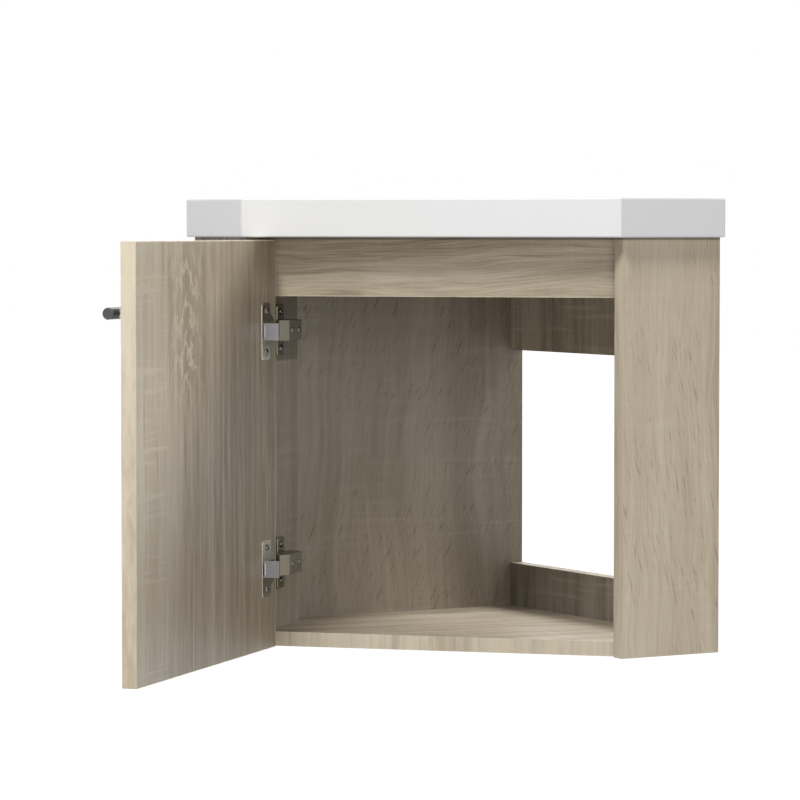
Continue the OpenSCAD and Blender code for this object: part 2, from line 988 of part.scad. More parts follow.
module handle_posts() {
    color(steel)
        at_door()
            for (x = post_x) {
                difference() {
                    union() {
                        difference() {
                            translate([x, bar_y, bar_z])
                                rotate([-90, 0, 0])
                                    cylinder(h = bar_off, d = post_d);
                            translate([x - post_d, bar_y, bar_z])
                                rod_x(bar_d + 0.1, 0, 2 * post_d);
                        }
                        translate([x, bar_y + bar_d / 2 - spigot_l - 1, bar_z])
                            rotate([-90, 0, 0])
                                cylinder(h = spigot_l + 3, d = spigot_d - 0.1);
                    }
                    translate([x, -door_t - stud_post - 0.3, bar_z])
                        rotate([-90, 0, 0])
                            cylinder(h = stud_post + 2, d = stud_d + play);
                }
            }
}

module handle_studs() {
    color(steel)
        at_door()
            for (x = post_x) {
                translate([x, -door_t - stud_post, bar_z])
                    rotate([-90, 0, 0])
                        cylinder(h = stud_post + stud_door, d = stud_d);
            }
}

basin();
overflow_ring();
left_side_panel();
right_side_panel();
left_back_panel();
rear_top_rail();
rear_bottom_rail();
floor_panel();
front_apron();
hinge_stile();
carcass_edge_bands();
dowels();
cam_locks();
cam_bolts();
upper_hinge_plate();
lower_hinge_plate();
upper_hinge_arm();
lower_hinge_arm();
upper_hinge_link();
lower_hinge_link();
upper_hinge_cup();
lower_hinge_cup();
hinge_plate_screws();
hinge_adjust_screws();
hinge_cup_screws();
hinge_arm_pins();
hinge_cup_pins();
door_panel();
door_edge_bands();
handle_bar();
handle_posts();
handle_studs();
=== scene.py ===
"""Looks of the corner vanity unit: finishes, rounded pieces, screws, stage and camera."""
import math
import bmesh
import bpy
from bpy.props import FloatProperty, FloatVectorProperty, IntProperty, PointerProperty
from bpy.types import Operator, Panel, PropertyGroup
from mathutils import Matrix, Vector


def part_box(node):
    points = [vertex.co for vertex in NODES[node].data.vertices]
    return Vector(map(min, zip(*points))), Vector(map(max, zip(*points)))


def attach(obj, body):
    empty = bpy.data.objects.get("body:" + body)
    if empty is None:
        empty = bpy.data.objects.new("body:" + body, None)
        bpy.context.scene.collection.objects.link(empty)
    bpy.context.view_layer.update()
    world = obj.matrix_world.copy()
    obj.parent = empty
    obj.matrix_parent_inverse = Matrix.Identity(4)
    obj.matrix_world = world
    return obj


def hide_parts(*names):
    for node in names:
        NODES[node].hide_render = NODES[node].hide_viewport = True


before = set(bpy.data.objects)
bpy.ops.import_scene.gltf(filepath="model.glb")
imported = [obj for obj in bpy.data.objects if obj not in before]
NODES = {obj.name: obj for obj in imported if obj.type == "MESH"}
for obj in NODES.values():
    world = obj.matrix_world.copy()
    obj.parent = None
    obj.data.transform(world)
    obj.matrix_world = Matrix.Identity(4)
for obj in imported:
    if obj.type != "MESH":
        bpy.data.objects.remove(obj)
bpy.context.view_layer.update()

bl_info = {
    "name": "Corner vanity unit",
    "version": (1, 0, 0),
    "blender": (4, 5, 0),
    "location": "View3D > Sidebar > Vanity",
    "description": "Finishes and stage for a corner vanity unit with one door",
    "category": "Object",
}

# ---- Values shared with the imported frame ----
# Angle in degrees at which the door stands open at rest
DOOR_OPEN = 93.5
DOOR_TURN = math.radians(DOOR_OPEN)
# Directions that the hinge plates' and the door's inner faces look in
PLATE_OUT = Vector((1, 0, 0))
DOOR_OUT = Vector((math.sin(DOOR_TURN), math.cos(DOOR_TURN), 0))
# Points of a mesh that lie closer than this are one, in metres
WELD = 1e-6

# ---- Stage, in metres and degrees ----
LAMP_TARGET = (0, -0.3, 0.2)
KEY_PLACE, KEY_SIZE = (-0.57, -2.58, 3.38), (0.55, 1.0)
FILL_PLACE, FILL_SIZE = (2.2, -4.2, 1.4), (2.5, 2.5)
REAR_PLACE, REAR_SIZE = (1.352, 1.568, 2.571), (1.94, 1.48)
REAR_TARGET = (-0.19, -0.55, 0.25)
CAMERA_PLACE = (1.00116, -4.18161, 0.46232)
CAMERA_DIP, CAMERA_TURN = 2.74, 15.28
FLOOR_REACH = 30.0


def slider(name, description, default, low, high, **more):
    """A named number with its limits."""
    return FloatProperty(name=name, description=description, default=default, min=low, max=high, **more)


def distance(name, description, default, low, high):
    """A named length in metres."""
    return slider(name, description, default, low, high, subtype="DISTANCE", unit="LENGTH")


def tint(name, description, default):
    """A named colour."""
    return FloatVectorProperty(
        name=name, description=description, default=default, subtype="COLOR", size=3, min=0.0, max=1.0
    )


# ---- Sizes and colours a user may change ----
class OakSettings(PropertyGroup):
    """The oak-look boards."""

    pale: tint("Pale grain", "Colour of the palest grain", (0.560, 0.490, 0.385))
    mid: tint("Middle grain", "Colour between the streaks", (0.430, 0.362, 0.266))
    dark: tint("Dark grain", "Colour of the darkest grain", (0.262, 0.208, 0.142))
    edge: tint("Edge band", "Colour of the edge bands", (0.620, 0.545, 0.415))
    edge_dark: tint("Edge streaks", "Colour of the edge bands' streaks", (0.500, 0.425, 0.310))
    streaks: slider("Streaks", "Contrast of the streaks", 0.9, 0.0, 3.0)
    roughness: slider("Roughness", "Roughness of the melamine face", 0.46, 0.0, 1.0, subtype="FACTOR")


class BasinSettings(PropertyGroup):
    """The cast basin."""

    white: tint("White", "Colour of the gel coat", (0.840, 0.840, 0.840))
    roughness: slider("Roughness", "Roughness of the gel coat", 0.34, 0.0, 1.0, subtype="FACTOR")
    edge_round: distance("Edge rounding", "Radius of the slab's edges", 0.0018, 0.0, 0.004)


class MetalSettings(PropertyGroup):
    """Hinges, screws and handle."""

    nickel: tint("Nickel", "Colour of the plated steel", (0.44, 0.42, 0.36))
    # Painted shade: the arms and plates take this darker copy of the plated steel, for the dark inside of
    # the cabinet
    arm: tint("Arm", "Colour of the hinge arm", (0.24, 0.225, 0.18))
    plate: tint("Link plate", "Colour of the hinge link", (0.44, 0.44, 0.46))
    # Painted shade: the screws' steel is darkened well below bare steel, standing for the shade the screws
    # sit in
    screw: tint("Screw", "Colour of the screws", (0.13, 0.125, 0.115))
    chrome: tint("Chrome", "Colour of the handle", (0.38, 0.385, 0.395))
    bar_end: tint("Bar ends", "Colour of the bar's end faces", (0.10, 0.10, 0.105))
    head_d: distance("Screw head", "Diameter of a screw's head", 0.0074, 0.004, 0.0075)
    head_h: distance("Screw dome", "Height of a screw's head", 0.0022, 0.001, 0.0022)
    rim_round: distance("Rim rounding", "Rounding of the plates' and cups' rims", 0.0006, 0.0002, 0.0008)
    bar_chamfer: distance("Bar chamfer", "Chamfer at the ends of the bar", 0.0009, 0.0, 0.003)
    bar_sides: IntProperty(name="Bar sides", description="Sides round the bar", default=64, min=12, max=128)


class StageSettings(PropertyGroup):
    """Floor, lamps and camera."""

    floor_drop: distance("Floor below", "From the cabinet's underside to the floor", 0.75, 0.3, 1.5)
    key: slider("Key lamp", "Power of the lamp above the front", 113.0, 0.0, 500.0)
    fill: slider("Fill lamp", "Power of the broad lamp in front", 42.0, 0.0, 500.0)
    rear: slider("Rear lamp", "Power of the lamp above the rear", 168.0, 0.0, 500.0)
    sky: slider("Surround", "Strength of the white surround", 0.19, 0.0, 2.0)
    floor_grey: slider("Floor grey", "Share of the light that the floor sends back", 0.45, 0.0, 1.0,
                       subtype="FACTOR")
    floor_glow: slider("Floor glow", "Light added to the floor for the camera", 0.90, 0.0, 1.0)
    lens: slider("Lens", "Focal length on a 36 mm sensor", 163.7, 20.0, 400.0)


SETTINGS = (
    ("vanity_oak", OakSettings),
    ("vanity_basin", BasinSettings),
    ("vanity_metal", MetalSettings),
    ("vanity_stage", StageSettings),
)


# ---- Node building ----
class Tree:
    """Adds nodes to a node tree and joins them."""

    def __init__(self, tree):
        self.tree = tree

    def put(self, socket, value):
        """Sets a socket or links it."""
        if isinstance(value, bpy.types.NodeSocket):
            self.tree.links.new(value, socket)
        elif value is not None:
            socket.default_value = value

    def add(self, kind, out=0, inputs=None, **settings):
        """A new node, or one of its outputs."""
        node = self.tree.nodes.new(kind)
        for key, value in settings.items():
            setattr(node, key, value)
        for key, value in (inputs or {}).items():
            self.put(node.inputs[key], value)
        return node.outputs[out] if out is not None else node

    def sum(self, *values):
        """The sum of all the values."""
        total = values[0]
        for value in values[1:]:
            total = self.math("ADD", total, value)
        return total

    def math(self, operation, a, b=None, c=None, clamp=False):
        """One step of arithmetic."""
        node = self.tree.nodes.new("ShaderNodeMath")
        node.operation = operation
        node.use_clamp = clamp
        for socket, value in zip(node.inputs, (a, b, c)):
            self.put(socket, value)
        return node.outputs[0]

    def split(self, vector):
        """A vector's three coordinates."""
        node = self.add("ShaderNodeSeparateXYZ", None, {0: vector})
        return node.outputs[0], node.outputs[1], node.outputs[2]

    def join(self, x, y, z):
        """Three coordinates as a vector."""
        return self.add("ShaderNodeCombineXYZ", 0, {0: x, 1: y, 2: z})

    def stretch(self, place, *factors):
        """A place with each coordinate times its own factor."""
        return self.join(*(self.math("MULTIPLY", part, factor) for part, factor in zip(place, factors)))

    def noise(self, vector, detail=2.0, roughness=0.5, distortion=0.0):
        """Noise between 0 and 1."""
        return self.add("ShaderNodeTexNoise", 0, {
            "Vector": vector, "Scale": 1.0, "Detail": detail, "Roughness": roughness,
            "Distortion": distortion,
        })

    def smooth(self, value, low, high, out_low=0.0, out_high=1.0):
        """A soft step from low to high."""
        return self.add("ShaderNodeMapRange", 0, {
            0: value, 1: low, 2: high, 3: out_low, 4: out_high,
        }, interpolation_type="SMOOTHSTEP")

    def mix(self, factor, a, b):
        """The colour between two."""
        node = self.tree.nodes.new("ShaderNodeMix")
        node.data_type = "RGBA"
        for index, value in ((0, factor), (6, a), (7, b)):
            self.put(node.inputs[index], value)
        return node.outputs[2]

    def seen(self):
        """1 for what the camera sees, straight, mirrored or through something, and else 0."""
        path = self.add("ShaderNodeLightPath", None)
        straight = self.math("MAXIMUM", path.outputs["Is Camera Ray"], path.outputs["Is Glossy Ray"])
        return self.math("MAXIMUM", straight, path.outputs["Is Transmission Ray"])


def opaque(colour):
    """A colour with full alpha."""
    return (*colour, 1.0)


def effect_group(name, inputs, outputs):
    """A shader group with named sockets; returns it with its builder and input sockets."""
    group = bpy.data.node_groups.new(name, "ShaderNodeTree")
    for label, kind, default in inputs:
        socket = group.interface.new_socket(name=label, in_out="INPUT", socket_type=kind)
        if default is not None:
            socket.default_value = default
    for label, kind in outputs:
        group.interface.new_socket(name=label, in_out="OUTPUT", socket_type=kind)
    build = Tree(group)
    source = group.nodes.new("NodeGroupInput")
    sink = group.nodes.new("NodeGroupOutput")
    return group, build, {s.name: s for s in source.outputs}, sink


FLOAT, COLOUR, VECTOR = "NodeSocketFloat", "NodeSocketColor", "NodeSocketVector"


def oak_group():
    """Printed oak: X runs across the grain and Z along it, in metres."""
    group, t, i, sink = effect_group("oak_grain", (
        ("Vector", VECTOR, None),
        ("Pale", COLOUR, (0.56, 0.49, 0.39, 1)),
        ("Mid", COLOUR, (0.43, 0.37, 0.27, 1)),
        ("Dark", COLOUR, (0.27, 0.22, 0.16, 1)),
        ("Bands", FLOAT, 0.5),
        ("Streaks", FLOAT, 0.9),
        ("Fibres", FLOAT, 0.5),
        ("Saw marks", FLOAT, 0.3),
        ("Saw from", FLOAT, -10.0),
        ("Figure", FLOAT, 0.0),
        ("Figure at", FLOAT, 0.0),
        ("Figure width", FLOAT, 0.05),
        ("Figure low", FLOAT, -10.0),
        ("Figure high", FLOAT, 10.0),
        ("Ribbon", FLOAT, 0.0),
        ("Ribbon at", FLOAT, 0.0),
        ("Side tone", FLOAT, 0.0),
        ("Side at", FLOAT, 0.0),
        ("Side width", FLOAT, 0.05),
        ("Step tone", FLOAT, 0.0),
        ("Step at", FLOAT, 0.0),
        ("Step width", FLOAT, 0.05),
        ("Pores", FLOAT, 0.0),
        ("Pore lean", FLOAT, 0.35),
        ("Wander", FLOAT, 0.012),
        ("Lift", FLOAT, 0.0),
    ), (("Colour", COLOUR), ("Grain", FLOAT), ("Height", FLOAT)))
    x, y, z = t.split(i["Vector"])
    slow = t.noise(t.stretch((x, y, z), 9.0, 1.0, 3.2))
    bend = t.math("MULTIPLY", t.math("SUBTRACT", slow, 0.5), i["Wander"])
    xw = t.math("ADD", x, bend)
    band = t.noise(t.stretch((xw, y, z), 30.0, 2.0, 1.1))
    streak = t.noise(t.stretch((xw, y, z), 120.0, 30.0, 3.6), 5.0, 0.68)
    fibre = t.noise(t.stretch((xw, y, z), 700.0, 60.0, 20.0), 3.0, 0.65)
    patch = t.noise(t.stretch((x, y, z), 12.0, 3.0, 3.0), 2.0, 0.6)
    patch = t.smooth(patch, 0.36, 0.64, 0.45, 1.35)
    # Jagged arches, one above the other, round one line of the board
    across = t.math("DIVIDE", t.math("SUBTRACT", xw, i["Figure at"]), i["Figure width"])
    square = t.math("MULTIPLY", across, across)
    ripple = t.noise(t.stretch((x, y, z), 60.0, 1.0, 30.0), 4.0, 0.7)
    phase = t.sum(
        t.math("MULTIPLY", z, 165.0), t.math("MULTIPLY", t.math("ABSOLUTE", across), 3.4),
        t.math("MULTIPLY", square, 2.4), t.math("MULTIPLY", ripple, 21.0), t.math("MULTIPLY", slow, 9.0),
    )
    ring = t.math("POWER", t.sum(t.math("MULTIPLY", t.math("SINE", phase), 0.5), 0.5), 4.0)
    near = t.math("EXPONENT", t.math("MULTIPLY", square, -1.1))
    inside = t.math("MULTIPLY", t.smooth(z, i["Figure low"], t.math("ADD", i["Figure low"], 0.06)),
                    t.smooth(z, i["Figure high"], t.math("ADD", i["Figure high"], -0.02)))
    rim = t.math("DIVIDE", t.math("SUBTRACT", t.math("ABSOLUTE", across), 1.25), 0.16)
    rim = t.math("EXPONENT", t.math("MULTIPLY", t.math("MULTIPLY", rim, rim), -1.0))
    lines = t.math("SUBTRACT", t.math("MULTIPLY", t.math("SUBTRACT", ring, 0.22), near),
                   t.math("MULTIPLY", rim, 0.35))
    figure = t.math("MULTIPLY", lines, t.math("MULTIPLY", i["Figure"], inside))
    # One pale wavering ribbon along the grain
    waver = t.noise(t.join(0.0, y, t.math("MULTIPLY", z, 11.0)), 3.0, 0.55)
    off = t.math("SUBTRACT", t.math("SUBTRACT", x, i["Ribbon at"]),
                 t.math("MULTIPLY", t.math("SUBTRACT", waver, 0.5), 0.06))
    ribbon = t.math("MULTIPLY", t.smooth(off, 0.0, 0.0012), t.smooth(off, 0.034, 0.0))
    ribbon = t.math("MULTIPLY", ribbon, i["Ribbon"])
    # Two changes of tone from one side of the board to the other; on the door, the apron and the back panel
    # they are painted light and shade
    side, step = (
        t.math("MULTIPLY", i[label + " tone"], t.smooth(
            xw, t.math("SUBTRACT", i[label + " at"], i[label + " width"]),
            t.math("ADD", i[label + " at"], i[label + " width"])))
        for label in ("Side", "Step"))
    # Pale marks square to the grain
    saw_line = t.noise(t.stretch((x, y, z), 9.0, 5.0, 150.0))
    saw_patch = t.noise(t.stretch((x, y, z), 6.0, 1.0, 22.0), 1.0)
    saw = t.math("MULTIPLY", t.smooth(saw_line, 0.50, 0.68), t.smooth(saw_patch, 0.40, 0.58))
    saw = t.math("MULTIPLY", t.math("MULTIPLY", saw, i["Saw marks"]),
                 t.smooth(x, i["Saw from"], t.math("ADD", i["Saw from"], 0.03)))
    # Long dark pores that lean off the grain
    xp = t.math("SUBTRACT", x, t.math("MULTIPLY", z, i["Pore lean"]))
    pore_line = t.noise(t.stretch((xp, y, z), 430.0, 1.0, 42.0), 1.0, 0.5, 0.25)
    pore_patch = t.noise(t.stretch((x, y, z), 11.0, 1.0, 7.0))
    pore = t.math("MULTIPLY", t.smooth(pore_line, 0.60, 0.72), t.smooth(pore_patch, 0.34, 0.54))
    pore = t.math("MULTIPLY", pore, i["Pores"])

    def swing(value, amount):
        return t.math("MULTIPLY", t.math("SUBTRACT", t.smooth(value, 0.3, 0.7), 0.5), amount)

    tone = t.sum(
        0.5, i["Lift"], swing(band, i["Bands"]),
        t.math("MULTIPLY", swing(streak, i["Streaks"]), patch), swing(fibre, i["Fibres"]),
        figure, saw, ribbon, side, step, t.math("MULTIPLY", pore, -1.0),
    )
    dark_side = t.math("MULTIPLY", tone, 2.0, clamp=True)
    pale_side = t.math("SUBTRACT", t.math("MULTIPLY", tone, 2.0), 1.0, clamp=True)
    colour = t.mix(pale_side, t.mix(dark_side, i["Dark"], i["Mid"]), i["Pale"])
    t.put(sink.inputs["Colour"], colour)
    t.put(sink.inputs["Grain"], t.math("MULTIPLY", tone, 1.0, clamp=True))
    t.put(sink.inputs["Height"], t.sum(t.math("MULTIPLY", fibre, 0.5), t.math("MULTIPLY", streak, 0.35),
                                       t.math("MULTIPLY", pore, -0.7)))
    return group


def wear_group():
    """Faint smudges and fine scratches for plated metal."""
    group, t, i, sink = effect_group("metal_wear", (
        ("Vector", VECTOR, None), ("Smudge", FLOAT, 0.12), ("Scratch", FLOAT, 0.1), ("Base", FLOAT, 0.25),
    ), (("Roughness", FLOAT), ("Height", FLOAT)))
    place = t.split(i["Vector"])
    smudge = t.noise(t.stretch(place, 90.0, 90.0, 90.0), 3.0, 0.6)
    scratch = t.noise(t.stretch(place, 300.0, 300.0, 2600.0), 2.0, 0.7)
    t.put(sink.inputs["Roughness"], t.sum(
        i["Base"], t.math("MULTIPLY", smudge, i["Smudge"]), t.math("MULTIPLY", scratch, i["Scratch"])))
    t.put(sink.inputs["Height"], scratch)
    return group


GROUPS = {}


def shared_group(name):
    """The effect group of that name, built once."""
    if name not in GROUPS:
        GROUPS[name] = {"oak_grain": oak_group, "metal_wear": wear_group}[name]()
    return GROUPS[name]


def new_material(name):
    """A material with its builder and Principled shader."""
    material = bpy.data.materials.new(name)
    material.use_nodes = True
    t = Tree(material.node_tree)
    return material, t, material.node_tree.nodes["Principled BSDF"]


def weighed(t, a, b, a_share, b_share):
    """Two coordinates added, each times its share."""
    return t.sum(t.math("MULTIPLY", a, a_share), t.math("MULTIPLY", b, b_share))


def board_place(t, origin, turn, flat=False, grain_turn=0.0):
    """Object coordinates in the board's own frame: X across the grain, Z along it."""
    where = t.add("ShaderNodeTexCoord", "Object")
    local = t.add("ShaderNodeMapping", 0, {
        "Vector": where, "Location": origin, "Rotation": (0.0, 0.0, math.radians(turn)),
    }, vector_type="TEXTURE")
    if not (flat or grain_turn):
        return local
    x, y, z = t.split(local)
    c, s = math.cos(math.radians(grain_turn)), math.sin(math.radians(grain_turn))
    if flat:
        # The grain lies in the plan, turned by grain_turn from local X
        return t.join(weighed(t, x, y, -s, c), z, weighed(t, x, y, c, s))
    return t.join(weighed(t, x, z, c, s), y, weighed(t, x, z, -s, c))


def boards_top():
    """Height of the boards' tops, which the basin's slab lies on."""
    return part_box("right_side_panel")[1][2]


def greyed(colour, grey, level=1.0):
    """A colour moved towards grey, with its level scaled."""
    mean = sum(colour) / 3
    return (*(level * (c + (mean - c) * grey) for c in colour), 1.0)


def oak_material(name, origin=(0, 0, 0), turn=0.0, flat=False, grain_turn=0.0, edge=False, grey=0.0,
                 level=1.0, topped=True, patch=None, **values):
    """Oak-look melamine, with the board's own place and grain; values name inputs of the grain. A patch and
    the line under the basin are painted shade.
    """
    oak = bpy.context.scene.vanity_oak
    material, t, shader = new_material(name)
    node = material.node_tree.nodes.new("ShaderNodeGroup")
    node.node_tree = shared_group("oak_grain")
    t.put(node.inputs["Vector"], board_place(t, origin, turn, flat, grain_turn))
    colours = {
        "Pale": greyed(oak.edge if edge else oak.pale, grey, level * (1.12 if edge else 1.0)),
        "Mid": greyed(oak.edge if edge else oak.mid, grey, level),
        "Dark": greyed(oak.edge_dark if edge else oak.dark, grey, level),
        "Streaks": oak.streaks,
    }
    figures = {key.replace("_", " ").capitalize(): value for key, value in values.items()}
    for label, value in {**colours, **figures}.items():
        t.put(node.inputs[label], value)
    colour = node.outputs["Colour"]
    _, depth, height = t.split(t.add("ShaderNodeTexCoord", "Object"))
    if patch:
        # Painted shade: a darker field from one height up or from one depth back, for the shade inside the
        # cabinet
        axis, start, amount = patch
        shade_field = t.smooth({"y": depth, "z": height}[axis], start, start + 0.0015, 0.0, amount)
        colour = t.mix(shade_field, colour, (0.01, 0.009, 0.006, 1.0))
    if topped:
        # Painted shade: a dark line along the boards' tops, where shade falls just under the basin
        joint = boards_top()
        line = t.smooth(height, joint - 0.0036, joint - 0.0018, 0.0, 0.62)
        colour = t.mix(line, colour, (0.02, 0.018, 0.014, 1.0))
    t.put(shader.inputs["Base Color"], colour)
    t.put(shader.inputs["Roughness"],
          t.math("ADD", oak.roughness, t.math("MULTIPLY", node.outputs["Grain"], -0.10)))
    shader.inputs["Specular IOR Level"].default_value = 0.45
    t.put(shader.inputs["Normal"], t.add("ShaderNodeBump", 0, {
        "Strength": 0.10, "Distance": 0.0004, "Height": node.outputs["Height"]}))
    return material


def metal_material(name, colour, base=0.25, smudge=0.12, scratch=0.1, bump=0.05):
    """Plated metal with faint wear."""
    material, t, shader = new_material(name)
    node = material.node_tree.nodes.new("ShaderNodeGroup")
    node.node_tree = shared_group("metal_wear")
    t.put(node.inputs["Vector"], t.add("ShaderNodeTexCoord", "Object"))
    for label, value in (("Base", base), ("Smudge", smudge), ("Scratch", scratch)):
        node.inputs[label].default_value = value
    shader.inputs["Base Color"].default_value = opaque(colour)
    shader.inputs["Metallic"].default_value = 1.0
    t.put(shader.inputs["Roughness"], node.outputs["Roughness"])
    t.put(shader.inputs["Normal"], t.add("ShaderNodeBump", 0, {
        "Strength": bump, "Distance": 0.0001, "Height": node.outputs["Height"]}))
    return material


def dress(node_name, material):
    """Gives a CAD node its finish."""
    shape = NODES[node_name]
    shape.data.materials.clear()
    shape.data.materials.append(material)


# ---- Mesh building ----
def piece_from(name, mesh, material, body, slot, *nodes, shade=35.0):
    """A piece that stands for CAD nodes and rides on their body."""
    shape = bpy.data.objects.new(name, mesh)
    bpy.context.scene.collection.objects.link(shape)
    mesh.materials.clear()
    mesh.materials.append(material)
    if shade is not None:
        mesh.shade_smooth()
        mesh.set_sharp_from_angle(angle=math.radians(shade))
    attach(shape, body)
    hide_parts(*nodes)
    return shape


def node_copy(node_name):
    """A copy of a CAD node's mesh, joined up and with its flat faces merged."""
    work = bmesh.new()
    work.from_mesh(NODES[node_name].data)
    bmesh.ops.remove_doubles(work, verts=work.verts, dist=WELD)
    bmesh.ops.dissolve_limit(work, angle_limit=math.radians(0.6), verts=work.verts, edges=work.edges)
    return work


def apply_modifiers(shape):
    """Turns a shape's modifiers into plain mesh."""
    graph = bpy.context.evaluated_depsgraph_get()
    made = bpy.data.meshes.new_from_object(shape.evaluated_get(graph))
    shape.modifiers.clear()
    old = shape.data
    shape.data = made
    bpy.data.meshes.remove(old)
    if not made.polygons:
        raise RuntimeError(shape.name + " has no faces")
    return shape


def plain_mesh(name, work):
    """A mesh made of the work so far, which is freed."""
    mesh = bpy.data.meshes.new(name)
    work.to_mesh(mesh)
    work.free()
    return mesh


def mesh_of(shape):
    """A copy of a working shape's mesh; the shape goes."""
    mesh = shape.data.copy()
    bpy.data.objects.remove(shape)
    return mesh


def bevelled(name, work, width, segments):
    """A working shape whose weighted edges are rounded."""
    shape = bpy.data.objects.new(name, plain_mesh(name, work))
    bpy.context.scene.collection.objects.link(shape)
    bevel = shape.modifiers.new("round", "BEVEL")
    bevel.limit_method = "WEIGHT"
    bevel.width = width
    bevel.segments = segments
    bevel.use_clamp_overlap = False
    return apply_modifiers(shape)


def rounded_rim(node_name, out, width):
    """A mesh of a plate-like node with the rim of its top face rounded."""
    work = node_copy(node_name)
    weight = work.edges.layers.float.new("bevel_weight_edge")
    for edge in work.edges:
        if len(edge.link_faces) == 2:
            facing = sorted(face.normal.dot(out) for face in edge.link_faces)
            if facing[1] > 0.999 and abs(facing[0]) < 0.05 and edge.is_convex:
                edge[weight] = 1.0
    return mesh_of(bevelled(node_name + "_rim", work, width, 2))


def lathe(work, profile, sides, place):
    """A closed round body from (along, radius) pairs; the first and last radius are 0."""
    rings = []
    for along, radius in profile:
        if radius == 0:
            rings.append([work.verts.new(place @ Vector((along, 0, 0)))])
            continue
        ring = []
        for k in range(sides):
            a = 2 * math.pi * k / sides
            ring.append(work.verts.new(place @ Vector((along, radius * math.cos(a), radius * math.sin(a)))))
        rings.append(ring)
    for low, high in zip(rings, rings[1:]):
        for k in range(sides):
            n = (k + 1) % sides
            corner = [low[k % len(low)], low[n % len(low)], high[n % len(high)], high[k % len(high)]]
            face = list(dict.fromkeys(corner))
            work.faces.new(face)
    bmesh.ops.recalc_face_normals(work, faces=work.faces)


# ---- Operators ----
class VANITY_OT_boards(Operator):
    """Gives the boards their oak finish, each with its own grain"""

    bl_idname = "vanity.boards"
    bl_label = "Oak boards"

    def execute(self, context):
        # Turn of each board's width, its grain and its figure. Levels below 1 are painted shade, darkening
        # the back panel, the lower rail, the floor, the stile and the door for the shade in and beside the
        # cabinet; the right side panel's level above 1 is partly a paler board and partly painted light.
        finishes = {
            "left_side_panel": dict(turn=-45, origin=(3.1, 1.7, 0.2)),
            "right_side_panel": dict(
                turn=45, origin=(1.3, 0.4, 0.1), level=1.26, streaks=0.22, bands=0.22, fibres=0.26,
                lift=0.24, pores=0.38, pore_lean=-0.22, wander=0.05, saw_marks=0.05,
                side_tone=-0.17, side_at=-1.285, side_width=0.03,
                step_tone=-0.13, step_at=-1.214, step_width=0.004),
            # Painted shade on the back panel: a little darker from 0.332 m up under the apron, and darker
            # towards the corner through its side tone
            "left_back_panel": dict(
                turn=45, origin=(-0.287, -0.310, 0.0), grey=0.2, level=0.745, patch=("z", 0.332, 0.04),
                streaks=0.18, bands=0.24, fibres=0.24, pores=0.52, pore_lean=0.45, wander=0.07,
                ribbon=0.20, ribbon_at=0.120, saw_marks=0.13,
                side_tone=-0.26, side_at=0.33, side_width=0.12),
            "rear_top_rail": dict(
                turn=-45, origin=(2.2, 0.1, 0.9), grey=0.2, level=0.98, streaks=0.34, bands=0.45,
                ribbon=0.16, ribbon_at=-1.462),
            "rear_bottom_rail": dict(
                turn=-45, origin=(2.5, 0.1, 1.9), grey=0.2, level=0.50, streaks=0.4, bands=0.4),
            "floor_panel": dict(
                flat=True, grain_turn=38, origin=(0.3, 0.9, 0), level=0.62, streaks=0.45, bands=0.5,
                wander=0.06, lift=0.05, figure=0.25, figure_at=0.1, figure_width=0.08),
            "front_apron": dict(
                grain_turn=92.5, origin=(0.15, 0.33, 0.02), level=1.0, streaks=0.62, bands=0.40,
                wander=0.06, fibres=0.50, lift=0.06, saw_marks=0.05,
                # Darker top of the apron: partly the print's darker streaks, partly painted shade under the
                # basin's overhang
                side_tone=-0.13, side_at=0.402, side_width=0.022),
            # Painted shadow on the stile: much darker from 0.312 m up, under the apron, with its level
            # lowered for the shade inside
            "hinge_stile": dict(
                turn=90, origin=(0.4, 0.4, 0.6), grey=0.2, level=0.72, patch=("z", 0.312, 0.48),
                streaks=0.25, bands=0.3, saw_marks=0.20),
            "door_panel": dict(
                turn=-DOOR_OPEN, origin=(-0.1813, -0.3718, 0.0), topped=False, level=0.83,
                streaks=0.46, bands=0.26, fibres=0.46, lift=-0.34, saw_marks=0.52, saw_from=0.298,
                figure=0.82, figure_at=0.256, figure_width=0.036, figure_low=0.26, figure_high=0.440,
                # Painted light: the side and step tones make the door's inner face paler towards its free
                # edge, where light falls on it, and leave it darker near the hinge
                side_tone=0.38, side_at=0.31, side_width=0.035,
                step_tone=0.30, step_at=0.145, step_width=0.04),
        }
        for node_name, values in finishes.items():
            dress(node_name, oak_material("oak_" + node_name, **values))
        return {"FINISHED"}


class VANITY_OT_edges(Operator):
    """Gives the edge bands their paler finish"""

    bl_idname = "vanity.edges"
    bl_label = "Edge bands"

    def execute(self, context):
        plain = dict(edge=True, bands=0.7, fibres=0.5, streaks=1.15, saw_marks=0.0)
        # Painted shade: the carcass's bands darken from 0.25 m back, inside the cabinet. The door's bands
        # are the same band at a higher level: painted light.
        dress("carcass_edge_bands", oak_material(
            "oak_carcass_edges", origin=(0.9, 0.1, 0.4), level=0.90, patch=("y", -0.25, 0.42), **plain))
        dress("door_edge_bands", oak_material(
            "oak_door_edges", turn=-DOOR_OPEN, origin=(0.2, 0.4, 0.1), level=1.17, topped=False, **plain))
        return {"FINISHED"}


